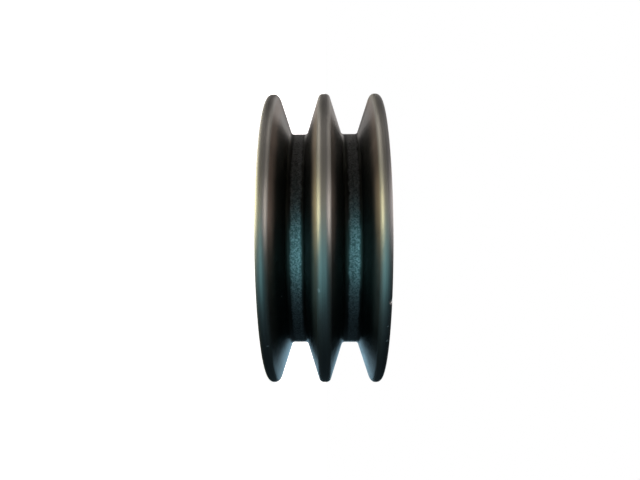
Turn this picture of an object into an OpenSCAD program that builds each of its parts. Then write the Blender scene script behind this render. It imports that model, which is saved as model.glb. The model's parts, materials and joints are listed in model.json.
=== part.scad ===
// Alternator pulley for V-belts, turned from one piece of steel.
// The shaft axis is +Z. The rear face, towards the alternator, lies on z = 0.
// Sizes are in millimetres.

/* [Rims] */
// Outside diameter over the rims
outer_d = 90; // [76:0.5:130]
// Thickness of each end rim at its edge
rim_w = 2.7; // [2.4:0.1:6]
// Rounding of the rim edges that face a groove
crown_r = 1.3; // [0.2:0.05:1.75]
// Rounding of the outward edge of each end rim
rim_edge_r = 1.4; // [0.2:0.05:1.75]

/* [Belt grooves] */
// Number of belt grooves
groove_count = 2; // [1:1:4]
// Distance between the middles of neighbouring grooves
groove_pitch = 15.5; // [14.6:0.1:22]
// Width of a groove across its mouth
groove_top_w = 12.7; // [9.6:0.1:13.6]
// Depth of a groove below the rims
groove_depth = 12; // [6:0.1:16]
// Angle between the two walls of a groove
groove_angle = 36; // [28:1:44]
// Rounding between a wall and the floor of a groove
root_r = 1; // [0.2:0.05:3]

/* [Shaft bore] */
// Diameter of the bore
bore_d = 17; // [10:0.1:24]
// Chamfer at each end of the bore
bore_chamfer = 0.8; // [0.2:0.1:2]

/* [Nut recess in the front] */
// Depth of the recess below the front face
recess_depth = 11.6; // [4:0.1:13]
// Steel left between the recess's mouth and a groove's floor
recess_wall = 6; // [3:0.5:12]
// Lean of the recess's wall from the axis, in degrees
recess_draft = 5; // [0:1:15]
// Rounding between the wall and the nut's seat
recess_r = 2.5; // [0.5:0.1:3]

/* [Relief in the rear] */
// Diameter of the hub's seat on the rear face
seat_d = 35; // [29:0.5:44]
// Width of the ring-shaped relief around the seat
relief_w = 8.5; // [4:0.5:12]
// Depth of the relief below the rear face
relief_depth = 4; // [2.5:0.1:8]
// Rounding of the relief's inner corners
relief_r = 1.4; // [0.2:0.1:1.6]

/* [Edges] */
// Rounding of the recess's and the relief's mouths
mouth_r = 0.8; // [0.2:0.05:1]

/* [Hidden] */
$fn = 180;

blackened_steel = "#2e3233";

// How far a cut runs past the surface that it starts from
run_out = 1;
// How far a rounding circle reaches past its two sides, so that they cross it cleanly
overrun = 0.002;
// Size of a corner's waste against the corner itself, so that the waste spills outside
spill = 1.2;

outer_radius = outer_d / 2;
floor_radius = outer_radius - groove_depth;
bore_radius = bore_d / 2;
wall_lean = groove_angle / 2;
groove_floor_w = groove_top_w - 2 * groove_depth * tan(wall_lean);

// Length of the pulley, from the rear face to the front face
width = (groove_count - 1) * groove_pitch + groove_top_w + 2 * rim_w;
// Length of the hub, from the rear face to the nut's seat
hub_l = width - recess_depth;
recess_mouth_radius = floor_radius - recess_wall;
recess_floor_radius = recess_mouth_radius - recess_depth * tan(recess_draft);
seat_radius = seat_d / 2;
relief_radius = seat_radius + relief_w;

// Height of the middle of groove i, counted from the rear
function groove_z(i) = rim_w + groove_top_w / 2 + i * groove_pitch;

// Directions in the section, where x is the distance from the axis and y is the height.
// The side is 1 towards the front and -1 towards the rear.
inward = [-1, 0];
outward = [1, 0];
function along(side) = [0, side];
function groove_wall(side) = [cos(wall_lean), side * sin(wall_lean)];
recess_side = [sin(recess_draft), cos(recess_draft)];

// What a rounding of radius r removes at a corner, given the directions of the corner's two sides
module corner_waste(corner, side_a, side_b, r) {
    half = acos(side_a * side_b) / 2;
    reach = r / tan(half);
    centre = corner + (side_a + side_b) / norm(side_a + side_b) * r / sin(half);
    difference() {
        polygon(concat(
            [centre],
            [for (p = [corner + reach * side_a, corner, corner + reach * side_b])
                centre + spill * (p - centre)]
        ));
        translate(centre) circle(r + overrun);
    }
}

// Section of the space of one belt groove around height z, with a rounded root
module groove_section(z) {
    top_half = groove_top_w / 2 + run_out * tan(wall_lean);
    difference() {
        polygon([
            [floor_radius, z - groove_floor_w / 2],
            [outer_radius + run_out, z - top_half],
            [outer_radius + run_out, z + top_half],
            [floor_radius, z + groove_floor_w / 2]
        ]);
        for (side = [-1, 1]) {
            root = [floor_radius, z + side * groove_floor_w / 2];
            corner_waste(root, along(-side), groove_wall(side), root_r);
        }
    }
}

// Sections of the two rounded rim edges beside the groove at height z
module crown_waste(z) {
    for (side = [-1, 1]) {
        crown = [outer_radius, z + side * groove_top_w / 2];
        corner_waste(crown, along(side), -groove_wall(side), crown_r);
    }
}

// Section of the recess that takes the shaft nut and the socket that turns it
module recess_section() {
    difference() {
        polygon([
            [0, hub_l],
            [recess_floor_radius, hub_l],
            [recess_mouth_radius + run_out * tan(recess_draft), width + run_out],
            [0, width + run_out]
        ]);
        corner_waste([recess_floor_radius, hub_l], inward, recess_side, recess_r);
    }
    corner_waste([recess_mouth_radius, width], outward, -recess_side, mouth_r);
}

// Section of the ring-shaped relief between the hub's rear seat and the rim
module relief_section() {
    difference() {
        polygon([
            [seat_radius, -run_out],
            [relief_radius, -run_out],
            [relief_radius, relief_depth],
            [seat_radius, relief_depth]
        ]);
        corner_waste([seat_radius, relief_depth], outward, along(-1), relief_r);
        corner_waste([relief_radius, relief_depth], inward, along(-1), relief_r);
    }
    corner_waste([seat_radius, 0], inward, along(1), mouth_r);
    corner_waste([relief_radius, 0], outward, along(1), mouth_r);
}

// Section of the chamfer at one end of the bore, where side points out of that end
module bore_chamfer_section(z, side) {
    reach = bore_chamfer + run_out;
    polygon([
        [bore_radius - run_out, z + side * run_out],
        [bore_radius - run_out, z - side * reach],
        [bore_radius + reach, z + side * run_out]
    ]);
}

// Half section of the finished pulley, from the bore out to the rims
module pulley_section() {
    difference() {
        translate([bore_radius, 0]) square([outer_radius - bore_radius, width]);
        for (i = [0 : groove_count - 1]) {
            groove_section(groove_z(i));
            crown_waste(groove_z(i));
        }
        corner_waste([outer_radius, 0], inward, along(1), rim_edge_r);
        corner_waste([outer_radius, width], inward, along(-1), rim_edge_r);
        recess_section();
        relief_section();
        bore_chamfer_section(0, -1);
        bore_chamfer_section(hub_l, 1);
    }
}

module pulley() {
    color(blackened_steel) rotate_extrude() pulley_section();
}

pulley();
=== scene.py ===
# %% [markdown]
# # An alternator pulley, turned from one piece of steel
#
# The object is a solid V-belt pulley with two deep grooves. It was turned on a lathe and then blackened in
# a hot oxide bath. We load the measured model as a fixed frame first, because every size below is read from
# it or has to agree with it, and we keep its box so that the finished piece can be compared with it.

# %% Load the fixed frame
import json
import math

import bmesh
import bpy
from mathutils import Matrix, Vector


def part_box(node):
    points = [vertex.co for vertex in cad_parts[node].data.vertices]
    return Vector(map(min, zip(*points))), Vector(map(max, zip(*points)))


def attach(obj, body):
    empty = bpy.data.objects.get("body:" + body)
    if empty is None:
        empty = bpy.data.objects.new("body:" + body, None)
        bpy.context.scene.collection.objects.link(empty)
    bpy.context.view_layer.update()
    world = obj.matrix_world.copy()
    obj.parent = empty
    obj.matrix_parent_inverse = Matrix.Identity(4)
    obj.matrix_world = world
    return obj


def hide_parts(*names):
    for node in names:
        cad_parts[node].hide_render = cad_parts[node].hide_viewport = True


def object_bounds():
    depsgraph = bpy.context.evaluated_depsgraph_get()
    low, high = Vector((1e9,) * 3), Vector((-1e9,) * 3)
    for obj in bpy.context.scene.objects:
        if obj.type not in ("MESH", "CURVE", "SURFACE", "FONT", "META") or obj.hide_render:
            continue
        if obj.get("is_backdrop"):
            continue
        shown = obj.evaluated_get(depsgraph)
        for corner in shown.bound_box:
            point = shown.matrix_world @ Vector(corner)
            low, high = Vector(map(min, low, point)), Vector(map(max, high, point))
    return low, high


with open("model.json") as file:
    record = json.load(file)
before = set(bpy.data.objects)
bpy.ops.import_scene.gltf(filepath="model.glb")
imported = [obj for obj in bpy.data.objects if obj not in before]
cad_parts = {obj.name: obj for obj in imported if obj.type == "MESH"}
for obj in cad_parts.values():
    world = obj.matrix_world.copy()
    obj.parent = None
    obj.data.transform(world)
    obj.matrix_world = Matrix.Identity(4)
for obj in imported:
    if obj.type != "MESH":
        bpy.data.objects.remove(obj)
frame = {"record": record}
frame_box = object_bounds()
MM = 0.001

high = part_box("pulley")[1]
mounts = {mount["name"]: mount for mount in frame["record"]["mounts"]}
rim_radius = high.x / MM
width = high.z / MM
middle = Vector((0, 0, width / 2)) * MM
print(f"frame: {2 * rim_radius:.1f} mm across the rims, {width:.1f} mm wide")

# %% [markdown]
# ## The camera
#
# The photograph looks square at the pulley's side, from close by, with the shaft axis level. Our pulley
# stands on its rear face with the axis upright, so the camera is rolled a quarter turn: the axis (+Z)
# points to the right of the picture and -X points up. A camera can be aimed with a Track To constraint, but
# here three unit vectors are simpler: right, down and forward in the picture become the columns of the
# camera's matrix.

# %% Place the camera
PHOTO_WIDTH, PHOTO_HEIGHT = 640, 480
FOCAL_LENGTH_PX = 528.0
SENSOR_MM = 36.0
CENTRE_IN_VIEW_MM = Vector((1.58, -0.62, 171.0))
YAW = math.radians(0.87)
ROLL = math.radians(-0.22)
SEEN_FROM, SEEN_TO = 0.01, 50

axis_way, down_way, away_way = Vector((0, 0, 1)), Vector((1, 0, 0)), Vector((0, 1, 0))
forward = math.cos(YAW) * away_way - math.sin(YAW) * axis_way
level_right = math.cos(YAW) * axis_way + math.sin(YAW) * away_way
right = math.cos(ROLL) * level_right - math.sin(ROLL) * down_way
down = math.sin(ROLL) * level_right + math.cos(ROLL) * down_way
across, below, ahead = CENTRE_IN_VIEW_MM * MM
camera_place = middle - right * across - down * below - forward * ahead

bpy.ops.object.select_all(action="DESELECT")
bpy.ops.object.camera_add(location=camera_place)
camera = bpy.context.object
camera.name = "photo_camera"
camera.data.sensor_fit = "HORIZONTAL"
camera.data.sensor_width = SENSOR_MM
camera.data.lens = FOCAL_LENGTH_PX / PHOTO_WIDTH * SENSOR_MM
camera.data.clip_start = SEEN_FROM
camera.data.clip_end = SEEN_TO
turn = Matrix((right, -down, -forward)).transposed()
camera.matrix_world = Matrix.Translation(camera_place) @ turn.to_4x4()
bpy.context.scene.camera = camera
print(f"camera: lens {camera.data.lens:.1f} mm, {ahead / MM:.0f} mm from the pulley's middle")

# %% [markdown]
# ## The section
#
# A turned part is its half section swept once around the axis. The section is a closed outline. Each of its
# corners has a distance from the axis, a height and a rounding radius, and a radius of zero keeps the
# corner sharp. The walls of the V-grooves lean by half of the groove's angle. One extra point lies on the
# straight line of the front face: it makes a ring there, so that the dent that comes later stays within a
# narrow band.

# %% Work out the section's corners
GROOVE_ANGLE = math.radians(36)
GROOVE_TOP = 12.7
GROOVE_DEPTH = 12.0
CROWN_ROUND = 1.3
RIM_EDGE_ROUND = 1.4
ROOT_ROUND = 1.0
BORE_CHAMFER = 0.8
RECESS_WALL = 6.0
RECESS_DRAFT = math.radians(5)
RECESS_ROUND = 2.5
SEAT_RADIUS = 17.5
RELIEF_WIDTH = 8.5
RELIEF_DEPTH = 4.0
RELIEF_ROUND = 1.4
MOUTH_ROUND = 0.8
GUARD_RING = 2.6

bore_radius = mounts["shaft_bore"]["dims"]["r_mm"]
nut_seat_height = mounts["nut_seat"]["pos_m"][2] / MM
groove_heights = [mounts[name]["pos_m"][2] / MM for name in ("rear_belt_groove", "front_belt_groove")]
floor_radius = rim_radius - GROOVE_DEPTH
half_top = GROOVE_TOP / 2
half_floor = half_top - GROOVE_DEPTH * math.tan(GROOVE_ANGLE / 2)
recess_mouth = floor_radius - RECESS_WALL
recess_floor = recess_mouth - (width - nut_seat_height) * math.tan(RECESS_DRAFT)
relief_radius = SEAT_RADIUS + RELIEF_WIDTH

rear_side = [
    (bore_radius, BORE_CHAMFER, 0),
    (bore_radius + BORE_CHAMFER, 0, 0),
    (SEAT_RADIUS, 0, MOUTH_ROUND),
    (SEAT_RADIUS, RELIEF_DEPTH, RELIEF_ROUND),
    (relief_radius, RELIEF_DEPTH, RELIEF_ROUND),
    (relief_radius, 0, MOUTH_ROUND),
    (rim_radius, 0, RIM_EDGE_ROUND),
]
grooves = []
for height in groove_heights:
    grooves += [
        (rim_radius, height - half_top, CROWN_ROUND),
        (floor_radius, height - half_floor, ROOT_ROUND),
        (floor_radius, height + half_floor, ROOT_ROUND),
        (rim_radius, height + half_top, CROWN_ROUND),
    ]
front_side = [
    (rim_radius, width, RIM_EDGE_ROUND),
    (rim_radius - GUARD_RING, width, 0),
    (recess_mouth, width, MOUTH_ROUND),
    (recess_floor, nut_seat_height, RECESS_ROUND),
    (bore_radius + BORE_CHAMFER, nut_seat_height, 0),
    (bore_radius, nut_seat_height - BORE_CHAMFER, 0),
]
section = rear_side + grooves + front_side
print(f"section: {len(section)} corners, groove floor {2 * half_floor:.2f} mm wide")

# %% [markdown]
# ## Tracing the section
#
# The outline could be typed in as mesh data, but it can also be drawn as by hand: add a circle with as many
# points as the section has corners, fill it with one face, and drag each point to its corner. Edit mode
# works on what is selected, so a small helper selects the points at given places first.

# %% Draw the outline from a circle
bpy.ops.object.select_all(action="DESELECT")
bpy.ops.mesh.primitive_circle_add(vertices=len(section), radius=rim_radius * MM, fill_type="NGON")
pulley = bpy.context.object
pulley.name = "turned_pulley"
pulley.data.name = "turned_pulley"
bpy.ops.object.mode_set(mode="EDIT")
bpy.ops.mesh.select_mode(type="VERT")


def select_points(wanted):
    """Selects the points of the edited mesh for which wanted(point) is true, and returns their places."""
    edited = bmesh.from_edit_mesh(pulley.data)
    for point in edited.verts:
        point.select = wanted(point)
    edited.select_flush_mode()
    bmesh.update_edit_mesh(pulley.data)
    return [point.co.copy() for point in edited.verts if point.select]


for number, (radius, height, _) in enumerate(section):
    (corner,) = select_points(lambda point: point.index == number)
    target = Vector((radius, 0, height)) * MM
    bpy.ops.transform.translate(value=target - corner)
print(f"outline: {len(section)} corners dragged into place")

# %% [markdown]
# ## Rounding the corners
#
# The rims have thick round edges and the grooves have rounded roots. A vertex bevel rounds a corner of a
# flat face. Its offset is the length that it takes from each side, so the wanted radius is divided by the
# tangent of half of the corner's angle.

# %% Bevel each rounded corner
ROUND_STEPS = 7
TRUE_ARC = 0.5
SAME_PLACE = 0.01


def ways_from(number):
    """Unit vectors from a corner of the section towards its two neighbours."""
    here = Vector(section[number][:2])
    before = Vector(section[number - 1][:2])
    after = Vector(section[(number + 1) % len(section)][:2])
    return (before - here).normalized(), (after - here).normalized()


for number, (radius, height, rounding) in enumerate(section):
    if not rounding:
        continue
    way_back, way_on = ways_from(number)
    taken = rounding / math.tan(way_back.angle(way_on) / 2)
    place = Vector((radius, 0, height)) * MM
    select_points(lambda point: (point.co - place).length < SAME_PLACE * MM)
    bpy.ops.mesh.bevel(
        offset=taken * MM,
        affect="VERTICES",
        segments=ROUND_STEPS,
        profile=TRUE_ARC,
        clamp_overlap=False,
    )
outline_points = len(bmesh.from_edit_mesh(pulley.data).verts)
print(f"rounded outline: {outline_points} points")

# %% [markdown]
# ## Turning it
#
# Spin sweeps the outline around the axis, as the lathe does. The flat face is deleted first and only its
# edges are swept, so that no wall is left inside. The seam closes by merging doubles, and the normals are
# then recalculated, because Spin can leave a shape inside out.

# %% Spin the outline around the shaft axis
SPIN_STEPS = 400
SEAM_GAP = 0.001
CM = 0.01

bpy.ops.mesh.select_all(action="SELECT")
bpy.ops.mesh.delete(type="ONLY_FACE")
bpy.ops.mesh.select_all(action="SELECT")
bpy.ops.mesh.spin(steps=SPIN_STEPS, angle=math.tau, center=(0, 0, 0), axis=(0, 0, 1))
bpy.ops.mesh.select_all(action="SELECT")
bpy.ops.mesh.remove_doubles(threshold=SEAM_GAP * MM)
bpy.ops.mesh.normals_make_consistent(inside=False)
turned = bmesh.from_edit_mesh(pulley.data)
print(
    f"turned: {len(turned.faces)} faces, {turned.calc_volume() / CM**3:.1f} cm3,"
    f" open edges {sum(len(edge.link_faces) != 2 for edge in turned.edges)}"
)
bpy.ops.object.mode_set(mode="OBJECT")

# %% [markdown]
# ## A knock on the rim
#
# The front rim has taken a knock: a small nick bites into its outer edge. Its place is easiest to give as a
# pixel of the photograph. A ray from the camera through that pixel meets the surface at the nick, so the
# dent sits on the steel itself and not on a guess of where it might be.

# %% Find the places that the photograph's pixels show
NICK_PIXEL = (391.7, 301.2)


def under_pixel(pixel):
    """Where a ray through a pixel of the photograph meets the pulley, and the outward way there."""
    across_px = pixel[0] - PHOTO_WIDTH / 2
    down_px = pixel[1] - PHOTO_HEIGHT / 2
    ray = forward * FOCAL_LENGTH_PX + right * across_px + down * down_px
    return pulley.ray_cast(camera_place, ray.normalized())[1:3]


bpy.context.view_layer.update()
nick_place, nick_outward = under_pixel(NICK_PIXEL)
print(f"nick: {nick_place.xy.length / MM:.1f} mm from the axis, at height {nick_place.z / MM:.1f} mm")

# %% [markdown]
# ## Denting the edge
#
# A dent is a few points pushed inwards, with their neighbours following less and less. Proportional editing
# does just that. The faces around the nick are subdivided first, because the turned mesh is coarse at this
# scale. Smooth shading comes last, and only where faces meet at less than 30 degrees, so that chamfers stay
# crisp.

# %% Push the nick into the edge
NICK_DEPTH = 0.3
NICK_REACH = 0.9
NICK_CUTS = 3
NICK_CORE = 0.225
NICK_SURROUND = 1.8
CRISP_ANGLE = math.radians(30)

bpy.ops.object.mode_set(mode="EDIT")
select_points(lambda point: (point.co - nick_place).length < NICK_SURROUND * MM)
bpy.ops.mesh.subdivide(number_cuts=NICK_CUTS)
pushed = select_points(lambda point: (point.co - nick_place).length < NICK_CORE * MM)
bpy.ops.transform.translate(
    value=-nick_outward * NICK_DEPTH * MM,
    use_proportional_edit=True,
    proportional_edit_falloff="SMOOTH",
    proportional_size=NICK_REACH * MM,
)
bpy.ops.object.mode_set(mode="OBJECT")
bpy.ops.object.shade_smooth_by_angle(angle=CRISP_ANGLE)
print(f"nick: {len(pushed)} points pushed in by {NICK_DEPTH} mm, {len(pulley.data.polygons)} faces in all")

# %% [markdown]
# ## Shader maths
#
# A finish is a formula over the surface. This small class wraps a socket, so that `1 - mask` or `a * b`
# adds the Math nodes by itself, and one method adds any other kind of node.


# %% A socket that can be calculated with
class Wire:
    """An output of a node, used in formulas with wires or numbers on either side of it."""

    def __init__(self, tree, socket=None):
        self.tree = tree
        self.socket = socket

    def node(self, kind, settings=None, **inputs):
        """Adds a node, sets its settings and fills its sockets, and returns its outputs by name."""
        made = self.tree.nodes.new(kind)
        for name, value in (settings or {}).items():
            setattr(made, name, value)
        for name, value in inputs.items():
            plug = name[1:] if name[1:].isdigit() else name.replace("_", " ")
            socket = made.inputs[int(plug) if plug.isdigit() else plug]
            if isinstance(value, Wire):
                self.tree.links.new(value.socket, socket)
            else:
                socket.default_value = value
        return {output.name: Wire(self.tree, output) for output in made.outputs if output.enabled}

    def maths(self, operation, first, second=0.0):
        made = self.node("ShaderNodeMath", {"operation": operation}, i0=first, i1=second)
        return made["Value"]

    def __add__(self, other):
        return self.maths("ADD", self, other)

    def __radd__(self, other):
        return self.maths("ADD", other, self)

    def __sub__(self, other):
        return self.maths("SUBTRACT", self, other)

    def __rsub__(self, other):
        return self.maths("SUBTRACT", other, self)

    def __mul__(self, other):
        return self.maths("MULTIPLY", self, other)

    def __rmul__(self, other):
        return self.maths("MULTIPLY", other, self)

    def __truediv__(self, other):
        return self.maths("DIVIDE", self, other)

    def __rtruediv__(self, other):
        return self.maths("DIVIDE", other, self)

    def __pow__(self, other):
        return self.maths("POWER", self, other)

    def __rpow__(self, other):
        return self.maths("POWER", other, self)

    def step(self, start, end):
        """Rises smoothly from 0 at start to 1 at end, or falls where start is the larger."""
        made = self.node(
            "ShaderNodeMapRange",
            {"interpolation_type": "SMOOTHSTEP"},
            Value=self,
            From_Min=start,
            From_Max=end,
        )
        return made["Result"]

    def band(self, start, end, soft):
        """Is 1 between start and end, with soft edges outside them."""
        return self.step(start - soft, start) * self.step(end + soft, end)

    def towards(self, colour, other):
        """Mixes two colours, with this wire as the share of the other one."""
        made = self.node("ShaderNodeMix", {"data_type": "RGBA"}, i0=self, i6=colour, i7=other)
        return made["Result"]


print("shader maths ready")

# %% [markdown]
# ## Lathe coordinates
#
# Everything on a turned surface follows the lathe: tool marks run around the axis, and tints change with
# the distance from it. So the finish doesn't use x, y and z but the distance from the axis, the height, and
# a direction around the axis. The direction is kept as a pair of numbers on a circle, because an angle
# would leave a seam where it jumps from 360 back to 0 degrees. Height and distance are also added up to one
# number along the section, so that lines are spaced out on flat faces and on walls alike.

# %% Measure every point as the lathe does
SECTION_SLANT = 0.9

steel = bpy.data.materials.new("blackened_steel")
steel.use_nodes = True
shader = steel.node_tree.nodes["Principled BSDF"]
paint = Wire(steel.node_tree)

object_place = paint.node("ShaderNodeTexCoord")["Object"]
scaled = paint.node("ShaderNodeVectorMath", {"operation": "SCALE"}, i0=object_place, Scale=1 / MM)
place_mm = scaled["Vector"]
axes = paint.node("ShaderNodeSeparateXYZ", Vector=place_mm)
height_mm = axes["Z"]
radius_mm = (axes["X"] * axes["X"] + axes["Y"] * axes["Y"]) ** 0.5
around_x = axes["X"] / radius_mm
around_y = axes["Y"] / radius_mm
along_section = height_mm + SECTION_SLANT * radius_mm


def streaks(length, fineness, **settings):
    """Noise drawn out into lines around the axis, about length mm long at the rim, fineness per mm."""
    reach = rim_radius / length
    place = paint.node(
        "ShaderNodeCombineXYZ", X=around_x * reach, Y=around_y * reach, Z=along_section * fineness
    )["Vector"]
    made = paint.node("ShaderNodeTexNoise", Vector=place, Scale=1.0, **settings)
    return made["Fac"]


def grains(size, **settings):
    """Even noise with spots of about size mm."""
    made = paint.node("ShaderNodeTexNoise", Vector=place_mm, Scale=1 / size, **settings)
    return made["Fac"]


print("lathe coordinates ready")

# %% [markdown]
# ## Zones of the finish
#
# The rims are burnished and show more shine than the walls. The floors of the grooves were left rough by
# the forming tool, so the black is grainy there. Masks name these zones: each is 1 on its zone and 0
# elsewhere, with soft borders. A mask could be painted by hand, but distances from the axis and heights say
# it exactly. A pair of depths below the rims' top gives where a mask begins and where it is full.

# %% Masks for the rims and walls
RIM_DEPTHS = (1.9, 0.9)
# Depths where the walls' brown begins and where it is full; deeper down it fades to black as painted shade.
BROWN_AND_PAINTED_SHADE_DEPTHS = (7.0, 3.0)
EDGE_DEPTHS = (2.2, 1.4)
EDGE_WIDTH, EDGE_BLUR = 1.6, 0.8
CROWN_DEPTHS = (1.5, 0.8)
LAND_DEPTHS = (0.03, 0.2)
CROWN_FROM_END, CROWN_BLUR = 1.7, 0.4
WALL_BLUR = 0.3


def below_top(begins, full):
    """A mask that begins at one depth below the rims' top and is full at the other."""
    return radius_mm.step(rim_radius - begins, rim_radius - full)


on_rim = below_top(*RIM_DEPTHS)
high_wall = below_top(*BROWN_AND_PAINTED_SHADE_DEPTHS)
between_edges = height_mm.band(EDGE_WIDTH, width - EDGE_WIDTH, EDGE_BLUR)
outer_edge = below_top(*EDGE_DEPTHS) * (1 - between_edges)
between_ends = height_mm.band(CROWN_FROM_END, width - CROWN_FROM_END, CROWN_BLUR)
crown_edge = below_top(*CROWN_DEPTHS) * below_top(*LAND_DEPTHS) * between_ends
rear_groove, front_groove = groove_heights
# The middle rib's rear wall carries a painted highlight of the warm side light.
painted_light_rib_wall = height_mm.band(rear_groove + half_floor, rear_groove + half_top, WALL_BLUR)
# The middle rib's front wall carries painted shade.
painted_shade_rib_wall = height_mm.band(front_groove - half_top, front_groove - half_floor, WALL_BLUR)
print("masks: rims, high walls, outer edges, crowns and the two walls of the middle rib")

# %% [markdown]
# ## Groove floors, ends and the hub
#
# The grainy strip on each groove floor has no straight border, so its height is shifted a little by cloudy
# noise before the mask is taken. The strip stops short of the floor's rounded roots and reaches further
# towards the front face than the rear, so its dark borders are painted shade of the groove walls. The end
# faces, the hub with its recesses, and the bore are told apart by their place.

# %% Masks for the floors, the ends and the hub
# The strip reaches 1.2 mm towards the front and 0.7 mm towards the rear; the dark rest of the floor is
# painted shade.
STRIP_BELOW, STRIP_ABOVE, STRIP_BLUR = 0.7, 1.2, 0.8
STRIP_WANDER, WANDER_SIZE = 0.9, 2.6
MIDDLE_GREY = 0.5
FLOOR_BEGINS, FLOOR_FULL = 0.35, 0.1
END_DEPTH, END_BLUR = 0.3, 0.2
HUB_REACH, HUB_BLUR = 31.0, 1.0
BORE_BEGINS, BORE_FULL = 0.4, 0.1

on_end = 1 - height_mm.band(END_DEPTH, width - END_DEPTH, END_BLUR)
on_hub = radius_mm.step(HUB_REACH, HUB_REACH - HUB_BLUR)
in_bore = radius_mm.step(bore_radius + BORE_BEGINS, bore_radius + BORE_FULL)
wandering_height = height_mm + STRIP_WANDER * (grains(WANDER_SIZE, Detail=2.0) - MIDDLE_GREY)
strips = []
for height in groove_heights:
    strips.append(wandering_height.band(height - STRIP_BELOW, height + STRIP_ABOVE, STRIP_BLUR))
# Only points near the floor's depth get the strip, so the rounded roots stay dark as painted shade in the
# corners.
low_enough = radius_mm.step(floor_radius + FLOOR_BEGINS, floor_radius + FLOOR_FULL)
on_floor = sum(strips) * low_enough * (1 - on_hub)
print(f"masks: {len(strips)} groove floors, end faces, hub and bore")

# %% [markdown]
# ## Bare spots
#
# Knocks have broken the black film in a few places, and steel shows through there. Each spot is a small
# soft disc around a place on the surface, found through its pixel as the nick was. Noise frays its border.
# Each spot has a pixel, a size in mm and the share of steel that shows in it.

# %% Mark the spots where steel shows
BARE_SPOTS = {
    "nick in the front rim": (NICK_PIXEL, 0.55, 0.55),
    "speck low on the front rim": ((387.2, 340.5), 0.45, 0.8),
    "speck beside the front rim's edge": ((388.0, 326.4), 0.25, 0.8),
    "speck in the rear groove": ((281.7, 296.3), 0.28, 1.0),
    "speck low on the rear rim": ((267.8, 346.3), 0.40, 1.0),
    "rubbed patch on the middle rib": ((318.6, 290.5), 0.60, 0.32),
}

NOISE_RANGE = (0.3, 0.7)
FRAY_SIZE, FRAY_SHARE = 0.35, 0.5
SPOT_BEGINS, SPOT_FULL = 1.3, 0.7

fraying = grains(FRAY_SIZE, Detail=2.0).step(*NOISE_RANGE)


def bare_spot(place, size):
    """A mask of a frayed disc of about size mm around a place on the surface."""
    gap = paint.node("ShaderNodeVectorMath", {"operation": "DISTANCE"}, i0=place_mm, i1=place / MM)["Value"]
    return (gap + FRAY_SHARE * size * fraying).step(SPOT_BEGINS * size, SPOT_FULL * size)


spots = []
for spot_name, (pixel, size, share) in BARE_SPOTS.items():
    spot_place = under_pixel(pixel)[0]
    spots.append(share * bare_spot(spot_place, size))
    print(f"bare steel: {spot_name}, {spot_place.xy.length / MM:.1f} mm from the axis")
bare = sum(spots)

# %% [markdown]
# ## Noise for the finish
#
# No coat is even. Clouds vary it over about a centimetre, lines around the axis follow the turning tool,
# and a fine grain covers the groove floors. Stretching noise along the lathe's direction makes the lines.

# %% Clouds, lines and grain
CLOUD_SIZE = 9.0
FINE_LINE_LENGTH, FINE_LINES_PER_MM = 60.0, 4.5
SOFT_LINE_LENGTH, SOFT_LINES_PER_MM = 90.0, 0.9
FLOOR_GRAIN_SIZE = 0.42
LINE_RANGE = (0.32, 0.68)
GRAIN_RANGE = (0.36, 0.66)

clouds = grains(CLOUD_SIZE, Detail=3.0, Roughness=0.6).step(*NOISE_RANGE)
fine_lines = streaks(FINE_LINE_LENGTH, FINE_LINES_PER_MM, Detail=2.0, Roughness=0.6).step(*LINE_RANGE)
soft_lines = streaks(SOFT_LINE_LENGTH, SOFT_LINES_PER_MM, Detail=2.0).step(*NOISE_RANGE)
floor_grain = grains(FLOOR_GRAIN_SIZE, Detail=2.0, Roughness=0.65).step(*GRAIN_RANGE)
print("noise: clouds, fine lines, soft lines and floor grain")

# %% [markdown]
# ## Colour
#
# Black oxide is a thin film over steel, so it is shaded as a metal with a very dark reflection. The film
# isn't even. It is browner high on the walls, and the fade from that brown to black deeper in the grooves is
# painted shade. The rear wall of the middle rib gets a straw tint that is a painted highlight of the warm
# light from that side, and the rib's front wall is darkened as painted shade. The film is greyer on the
# rough floors, and thinner on the rims, which handling and the belt have rubbed. Each zone's colour is mixed
# over the one before, so the last one named lies on top.

# %% Mix the colour of the blackened steel
DEEP_BLACK = (0.038, 0.0375, 0.033, 1)
BROWN_OXIDE = (0.144, 0.116, 0.097, 1)
# Straw colour of the warm side light, put on the middle rib's rear wall as a painted highlight.
STRAW_PAINTED_LIGHT = (0.215, 0.180, 0.142, 1)
RIM_GREY = (0.165, 0.160, 0.150, 1)
RUBBED_EDGE = (0.18, 0.174, 0.159, 1)
OUTER_EDGE_GREY = (0.11, 0.109, 0.106, 1)
FLOOR_GREY = (0.36, 0.37, 0.37, 1)
FACED_GREY = (0.060, 0.060, 0.058, 1)
HUB_GREY = (0.075, 0.074, 0.070, 1)
BORE_GREY = (0.16, 0.157, 0.15, 1)
BARE_STEEL = (0.62, 0.61, 0.59, 1)
# Share of painted shade that darkens the middle rib's front wall.
RIB_PAINTED_SHADE = 0.6
CLOUDS_IN_BROWN = 0.25
LINES_IN_RUBBED_EDGE = 0.2
GRAIN_IN_FLOOR = 0.65
HUB_EVEN, HUB_CLOUDS, HUB_LINES = 0.3, 0.4, 0.3
FACE_EVEN, FACE_CLOUDS, FACE_LINES = 0.4, 0.3, 0.3

# Brown oxide high on the walls, fading to black deeper in the grooves as painted shade.
browning_and_painted_shade = high_wall * (1 - CLOUDS_IN_BROWN + CLOUDS_IN_BROWN * clouds)
# The middle rib's front wall is darkened here as painted shade.
browning_and_painted_shade = browning_and_painted_shade * (1 - RIB_PAINTED_SHADE * painted_shade_rib_wall)
wall_colour = browning_and_painted_shade.towards(DEEP_BLACK, BROWN_OXIDE)
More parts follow.
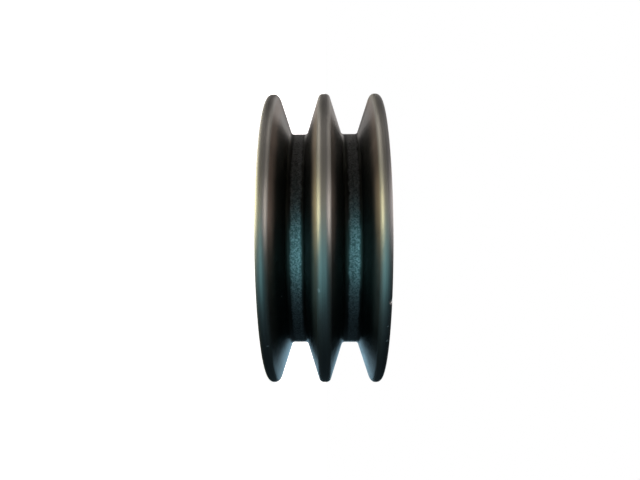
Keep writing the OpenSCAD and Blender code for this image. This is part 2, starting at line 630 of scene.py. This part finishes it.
# The straw tint on the middle rib's rear wall is a painted highlight of the warm light from that side.
wall_colour = (high_wall * painted_light_rib_wall).towards(wall_colour, STRAW_PAINTED_LIGHT)
floor_colour = (1 - GRAIN_IN_FLOOR + GRAIN_IN_FLOOR * floor_grain).towards(DEEP_BLACK, FLOOR_GREY)
hub_greying = HUB_EVEN + HUB_CLOUDS * clouds + HUB_LINES * soft_lines
hub_colour = hub_greying.towards(DEEP_BLACK, HUB_GREY)
face_greying = FACE_EVEN + FACE_CLOUDS * clouds + FACE_LINES * soft_lines
face_colour = face_greying.towards(DEEP_BLACK, FACED_GREY)

colour = on_rim.towards(wall_colour, RIM_GREY)
rubbing = crown_edge * (1 - LINES_IN_RUBBED_EDGE + LINES_IN_RUBBED_EDGE * soft_lines)
colour = rubbing.towards(colour, RUBBED_EDGE)
colour = on_floor.towards(colour, floor_colour)
colour = on_end.towards(colour, face_colour)
colour = on_hub.towards(colour, hub_colour)
colour = in_bore.towards(colour, BORE_GREY)
colour = outer_edge.towards(colour, OUTER_EDGE_GREY)
print(f"colour: {len(steel.node_tree.nodes)} nodes so far")

# %% [markdown]
# ## Lines in the colour
#
# The tool's lines also darken the film a little. Multiplying keeps the hue, so the shade is one grey value
# that a Mix node multiplies into the colour. Bare steel comes last, because it lies where the film is gone.

# %% Shade the lines and uncover the bare spots
BETWEEN_LINES = 0.86
FINE_LINE_SHADE = 0.14
SOFT_LINE_SHADE = 0.08
MULTIPLY = {"data_type": "RGBA", "blend_type": "MULTIPLY"}

line_shade = BETWEEN_LINES + FINE_LINE_SHADE * fine_lines + SOFT_LINE_SHADE * soft_lines
shade = paint.node("ShaderNodeCombineColor", Red=line_shade, Green=line_shade, Blue=line_shade)["Color"]
colour = paint.node("ShaderNodeMix", MULTIPLY, i0=1.0, i6=colour, i7=shade)["Result"]
colour = bare.towards(colour, BARE_STEEL)
print(f"colour: {len(steel.node_tree.nodes)} nodes with lines and bare spots")

# %% [markdown]
# ## Shine
#
# Roughness decides how wide a reflection spreads. The walls are the smoothest, because the belt polishes
# them, the rims are duller, and the grainy floors break the light up. The fine scratches around the axis
# also pull each reflection out sideways, across the scratches. That is what Anisotropic does, and its
# rotation turns the stretch from along the scratches to across them.

# %% Set how sharp the reflections are
WALL_ROUGHNESS = 0.37
RIM_ROUGHNESS = 0.47
FLOOR_ROUGHNESS = 0.43
OUTER_EDGE_ROUGHNESS = 0.58
ADDED_BY_CLOUDS, ADDED_HIGH_UP = 0.06, 0.05
ADDED_BY_LINES = 0.06
ADDED_BY_PITS = 0.12
STRETCH = 0.76
ACROSS_THE_SCRATCHES = 0.25

wall_roughness = WALL_ROUGHNESS + ADDED_BY_CLOUDS * clouds + ADDED_HIGH_UP * high_wall
rim_roughness = RIM_ROUGHNESS + ADDED_BY_LINES * fine_lines
floor_roughness = FLOOR_ROUGHNESS + ADDED_BY_PITS * (1 - floor_grain)
roughness = wall_roughness + on_rim * (rim_roughness - wall_roughness)
roughness = roughness + on_floor * (floor_roughness - roughness)
roughness = roughness + outer_edge * (OUTER_EDGE_ROUGHNESS - roughness)
shader.inputs["Metallic"].default_value = 1.0
shader.inputs["Anisotropic"].default_value = STRETCH
shader.inputs["Anisotropic Rotation"].default_value = ACROSS_THE_SCRATCHES
print(f"roughness: walls, rims, floors and outer edges, stretched by {STRETCH}")

# %% [markdown]
# ## Relief of the surface
#
# The tool leaves fine ridges around the axis, and the floor has a coarse grain. Both are far thinner than a
# face of the mesh, so they aren't modelled: a Bump node turns their height into slopes of the surface.

# %% Press the tool marks and the grain into the surface
TOOL_MARK_MM = 0.009
GRAIN_MM = 0.026

ridges = TOOL_MARK_MM * fine_lines * (1 - on_floor)
pits = GRAIN_MM * floor_grain * on_floor
surface_height = (ridges + pits) * MM
relief = paint.node("ShaderNodeBump", Strength=1.0, Distance=1.0, Height=surface_height)["Normal"]

links = steel.node_tree.links
links.new(colour.socket, shader.inputs["Base Color"])
links.new(roughness.socket, shader.inputs["Roughness"])
links.new(relief.socket, shader.inputs["Normal"])
pulley.data.materials.append(steel)
print(f"finish: {len(steel.node_tree.nodes)} nodes, tool marks {TOOL_MARK_MM} mm high")

# %% [markdown]
# ## The floor
#
# The pulley stands on a pale sheet. The photograph is bright right up to the pulley's edge, and light
# reaches it from the sheet's side too, as on a light table. So the sheet glows, and only the camera sees
# it: rays that carry light pass through it. A Mix Shader driven by the Light Path node makes that choice.
# Seen from below the sheet is clear, as glass would be, so that the rear face can be looked at.

# %% Lay the glowing sheet
SHEET_SIZE = 6.0
SHEET_DROP_MM = 0.05
SHEET_GLOW = 0.9
PAPER_WHITE = (0.85, 0.84, 0.82, 1)
PAPER_ROUGHNESS = 0.9

bpy.ops.object.select_all(action="DESELECT")
bpy.ops.mesh.primitive_plane_add(size=SHEET_SIZE, location=(0, 0, -SHEET_DROP_MM * MM))
sheet = bpy.context.object
sheet.name = "pale_floor"
paper = bpy.data.materials.new("pale_paper")
paper.use_nodes = True
paper.node_tree.nodes.clear()
coat = Wire(paper.node_tree)
clear = coat.node("ShaderNodeBsdfTransparent")["BSDF"]
glowing = coat.node(
    "ShaderNodeBsdfPrincipled",
    Base_Color=PAPER_WHITE,
    Roughness=PAPER_ROUGHNESS,
    Specular_IOR_Level=0.0,
    Emission_Color=(1, 1, 1, 1),
    Emission_Strength=SHEET_GLOW,
)["BSDF"]
from_below = coat.node("ShaderNodeNewGeometry")["Backfacing"]
seen = coat.node("ShaderNodeLightPath")["Is Camera Ray"] * (1 - from_below)
paper_surface = coat.node("ShaderNodeMixShader", i0=seen, i1=clear, i2=glowing)["Shader"]
coat.node("ShaderNodeOutputMaterial", Surface=paper_surface)
sheet.data.materials.append(paper)
sheet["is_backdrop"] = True
print(f"floor: a sheet {SHEET_SIZE} m wide, seen only by the camera and only from above")

# %% [markdown]
# ## The room
#
# Dark shiny metal shows mostly what it mirrors, so the room decides how the pulley looks. This one is a
# white studio whose walls glow softly in some directions: brighter at both sides and overhead, cooler
# below, and with one bluish green glow low in front that the lower half of the pulley mirrors. Groove walls
# that are seen at a very flat angle mirror what lies behind the pulley, so a low band of light there makes
# the bluish gleam at the bottom of the grooves. An image of a room could do all this too, but a few masks
# over the direction need no file. A direction is a unit vector whose X part points down in the photograph,
# Y away from the camera and Z to the right. Its squared Z part says how far it lies to either side. Each
# pair gives where a mask begins and where it is full.

# %% Masks over the room's directions
LEFT = (0.4, -0.4)
BELOW = (-0.15, 0.25)
BEHIND = (0.5, 0.95)
SIDES_OUT, SIDES_UP = (0.15, 0.4), (0.0, -0.35)
OVERHEAD_UP, OVERHEAD_OUT, OVERHEAD_BACK = (-0.6, -0.85), (0.08, 0.26), (-0.3, 0.2)
HIGH_UP, HIGH_OUT = (-0.15, -0.28), (0.005, 0.04)
HIGH_LOSS_LEFT = 0.35
LOW_FROM, LOW_TO, LOW_BLUR = 0.25, 0.34, 0.06
LOW_OUT = (0.2, 0.09)

room = bpy.data.worlds.new("white_room")
bpy.context.scene.world = room
room.use_nodes = True
room.node_tree.nodes.clear()
air = Wire(room.node_tree)
way = air.node("ShaderNodeTexCoord")["Generated"]
parts = air.node("ShaderNodeSeparateXYZ", Vector=way)


def lobe(to_right, upwards, spread):
    """A soft glow around one direction, in degrees right of the camera and above it, that ends at spread."""
    side, rise = math.radians(to_right), math.radians(upwards)
    level = math.sin(side) * axis_way - math.cos(side) * away_way
    aim = math.cos(rise) * level - math.sin(rise) * down_way
    nearness = air.node("ShaderNodeVectorMath", {"operation": "DOT_PRODUCT"}, i0=way, i1=aim)["Value"]
    return nearness.step(math.cos(math.radians(spread)), 1.0)


sideways = parts["Z"] * parts["Z"]
left_share = parts["Z"].step(*LEFT)
below_axis = parts["X"].step(*BELOW)
behind = parts["Y"].step(*BEHIND)
sides = sideways.step(*SIDES_OUT) * parts["X"].step(*SIDES_UP)
overhead = parts["X"].step(*OVERHEAD_UP) * sideways.step(*OVERHEAD_OUT) * parts["Y"].step(*OVERHEAD_BACK)
behind_high = behind * parts["X"].step(*HIGH_UP) * (1 - HIGH_LOSS_LEFT * left_share)
behind_high = behind_high * sideways.step(*HIGH_OUT)
behind_low = behind * parts["X"].band(LOW_FROM, LOW_TO, LOW_BLUR) * sideways.step(*LOW_OUT)
low_front = lobe(to_right=-5, upwards=-42, spread=50)
low_left = lobe(to_right=-62, upwards=-12, spread=36)
right_front = lobe(to_right=52, upwards=18, spread=30)
teal_glow = lobe(to_right=-24, upwards=-14, spread=37)
print("room: sides, overhead, behind, low front, low left, right front and a bluish green glow")

# %% [markdown]
# ## The room's brightness
#
# Each mask gets a brightness, and their sum is the strength of the background. The camera itself sees plain
# white instead, as in the photograph.

# %% Light the room
WARM_WHITE = (1, 0.95, 0.92, 1)
COOL_BLUE = (0.50, 0.83, 1.05, 1)
BLUISH_GREEN = (0.38, 0.93, 1.05, 1)
ROOM_BRIGHTNESS = 0.05
SIDE_BRIGHTNESS = 0.8
TEAL_BLEND = (0.0, 0.1)
GLOWS = [
    (overhead, 3.2),
    (behind_high, 1.3),
    (behind_low, 1.6),
    (low_front, 0.14),
    (low_left, 0.9),
    (right_front, 0.9),
    (teal_glow, 2.4),
]

strength = ROOM_BRIGHTNESS + SIDE_BRIGHTNESS * sides * (1 + left_share)
for glow, brightness in GLOWS:
    strength = strength + brightness * glow
room_colour = below_axis.towards(WARM_WHITE, COOL_BLUE)
room_colour = teal_glow.step(*TEAL_BLEND).towards(room_colour, BLUISH_GREEN)
soft = air.node("ShaderNodeBackground", Color=room_colour, Strength=strength)["Background"]
white = air.node("ShaderNodeBackground", Color=(1, 1, 1, 1), Strength=1.0)["Background"]
seen = air.node("ShaderNodeLightPath")["Is Camera Ray"]
both = air.node("ShaderNodeMixShader", i0=seen, i1=soft, i2=white)["Shader"]
air.node("ShaderNodeOutputWorld", Surface=both)
bpy.context.scene.view_settings.view_transform = "Standard"
print(f"room: {len(room.node_tree.nodes)} nodes")

# %% [markdown]
# ## The lamps
#
# Two long soft lamps beside the pulley draw the bright lines along the rounded rims: a straw yellow one on
# the left and a pinkish one on the right. Three weaker ones, above and behind, reach the groove walls,
# which mirror what lies behind the pulley. Each lamp has a place and a size in metres, a brightness and a
# tint. Its power is worked out from its brightness and its area, so that a lamp can change its size and
# stay as bright.

# %% Place the lamps
LAMPS = {
    "right_strip": ((-0.095, -0.02, 0.44), (0.45, 0.17), 10.0, (1.0, 0.90, 0.89)),
    "left_strip": ((-0.095, 0.03, -0.40), (0.50, 0.155), 24.0, (1.0, 0.935, 0.58)),
    "left_upper": ((-0.27, 0.04, -0.30), (0.34, 0.26), 0.8, (1.0, 0.93, 0.72)),
    "left_back": ((-0.12, 0.19, -0.33), (0.28, 0.20), 12.0, (1.0, 0.90, 0.66)),
    "right_back": ((-0.08, 0.20, 0.35), (0.28, 0.15), 2.6, (1.0, 0.88, 0.86)),
}


def soft_lamp(name, place, size, brightness, tint):
    """A lamp of an even brightness that faces the pulley's middle, hidden from the camera itself."""
    bpy.ops.object.select_all(action="DESELECT")
    bpy.ops.object.light_add(type="AREA", location=place)
    lamp = bpy.context.object
    lamp.name = name
    lamp.data.shape = "RECTANGLE"
    lamp.data.size, lamp.data.size_y = size
    lamp.data.energy = brightness * math.pi * size[0] * size[1]
    lamp.data.color = tint
    facing = (middle - Vector(place)).normalized()
    level = facing.cross(-down_way).normalized()
    lamp.rotation_euler = Matrix((level, level.cross(facing), -facing)).transposed().to_euler()
    lamp.visible_camera = False
    return lamp


for lamp_name, (place, size, brightness, tint) in LAMPS.items():
    lamp = soft_lamp(lamp_name, place, size, brightness, tint)
    print(f"lamp: {lamp_name}, {lamp.data.energy:.2f} W, {(lamp.location - middle).length:.2f} m away")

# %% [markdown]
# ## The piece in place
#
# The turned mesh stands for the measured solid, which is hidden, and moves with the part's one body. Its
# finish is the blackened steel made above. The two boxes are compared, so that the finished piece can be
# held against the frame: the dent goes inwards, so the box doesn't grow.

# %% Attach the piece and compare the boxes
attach(pulley, "root")
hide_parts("pulley")
dressed_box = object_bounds()
growth = max(abs(a - b) for one, two in zip(frame_box, dressed_box) for a, b in zip(one, two))
print(f"box: differs from the frame by at most {growth / MM:.3f} mm")
